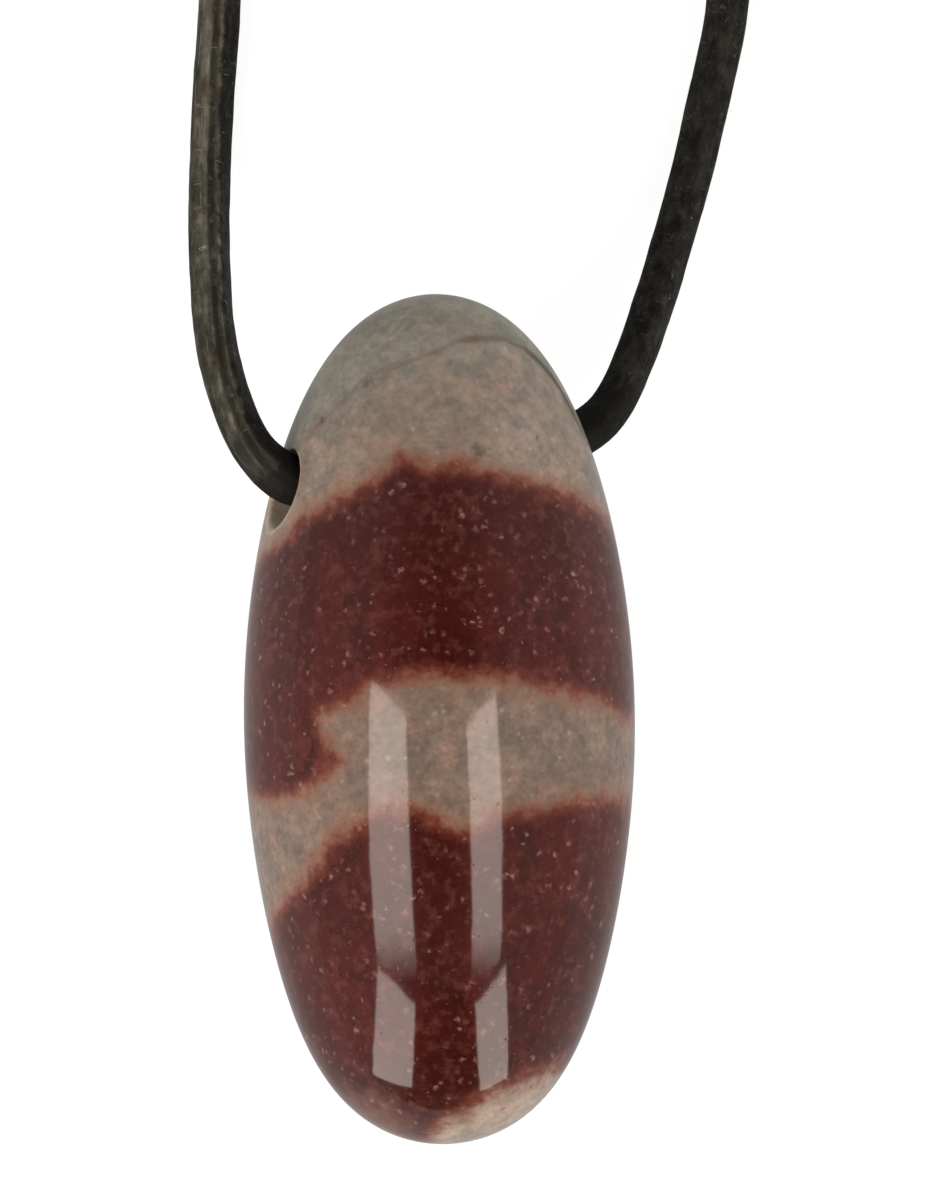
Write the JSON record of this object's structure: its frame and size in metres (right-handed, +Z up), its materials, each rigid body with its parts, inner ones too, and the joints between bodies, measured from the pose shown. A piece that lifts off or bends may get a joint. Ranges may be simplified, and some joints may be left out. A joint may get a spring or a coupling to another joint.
{
  "type": "drilled shiva lingam stone on a leather lace",
  "caption": "Polished egg-shaped river stone, drilled crosswise near one end and threaded on a thin leather lace.",
  "frame": {"origin": "on the surface the stone rests on, under the middle of the stone", "axes": "+Y along the stone's long axis towards its drilled end, +Z up from the flat spot it rests on"},
  "size_m": [0.0324, 0.0907, 0.0167],
  "materials": {
    "stone": "polished",
    "lace": "satin"
  },
  "bodies": {
    "root": {"stone": "stone", "lace_left": "lace", "lace_right": "lace", "lace_coil": "lace", "lace_knot": "lace"}
  },
  "joints": []
}
